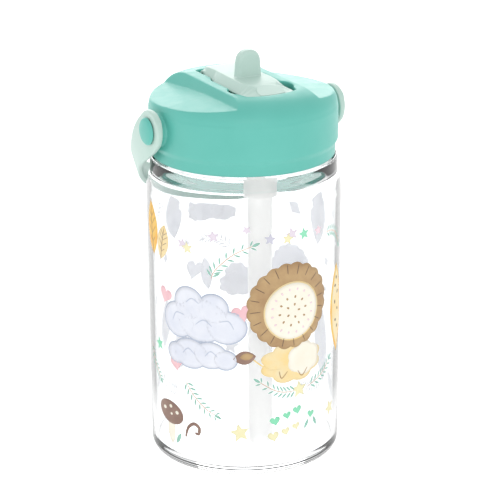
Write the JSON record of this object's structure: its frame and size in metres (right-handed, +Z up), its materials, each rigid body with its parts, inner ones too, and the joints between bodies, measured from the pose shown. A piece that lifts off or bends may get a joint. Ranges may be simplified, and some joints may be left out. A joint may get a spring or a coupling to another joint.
{
  "type": "kids water bottle",
  "caption": "Clear round drinking bottle for children with a screw lid, a flip-up cover over a straw mouthpiece and a swinging strap handle.",
  "frame": {"origin": "centre of the flat base, on the surface that the bottle stands on", "axes": "+Z up along the bottle's axis, -Y to the front where the flip cover's thumb pad is, +Y to the rear where the handle hangs, +X through the right handle rivet"},
  "size_m": [0.0842, 0.0845, 0.1588],
  "materials": {
    "clear_body": "clear, polished, with printed decoration",
    "mint_plastic": "satin moulded",
    "pale_mint_plastic": "satin moulded",
    "liner_plastic": "plain moulded",
    "frosted_plastic": "translucent, frosted",
    "silicone": "soft, milky",
    "steel": "drawn pin"
  },
  "bodies": {
    "bottle": {"bottle_body": "clear_body"},
    "seal": {"lid_gasket": "silicone"},
    "lid": {"lid_shell": "mint_plastic", "lid_liner": "liner_plastic", "straw_socket": "frosted_plastic", "straw": "frosted_plastic", "drinking_spout": "silicone", "vent_valve": "silicone", "cover_hinge_pin": "steel", "handle_rivet_left": "mint_plastic", "handle_rivet_right": "mint_plastic"},
    "cover": {"flip_cover": "pale_mint_plastic", "cover_seal": "silicone"},
    "handle": {"carry_handle": "pale_mint_plastic"}
  },
  "joints": [
    {"name": "lid_rise", "type": "slide", "parent": "bottle", "child": "seal", "axis": [0, 0, 1], "range_m": [0, 0.00605]},
    {"name": "lid_turn", "type": "hinge", "parent": "seal", "child": "lid", "pos_m": [0, 0, 0.125], "axis": [0, 0, 1], "range_deg": [0, 540]},
    {"name": "cover_flip", "type": "hinge", "parent": "lid", "child": "cover", "pos_m": [0, 0.017, 0.1446], "axis": [-1, 0, 0], "range_deg": [0, 110]},
    {"name": "handle_swing", "type": "hinge", "parent": "lid", "child": "handle", "pos_m": [0, 0, 0.1319], "axis": [1, 0, 0], "range_deg": [0, 255]}
  ],
  "couplings": [
    {"joint": "lid_rise", "follows": "lid_turn", "m_per_rad": 0.00063662}
  ]
}
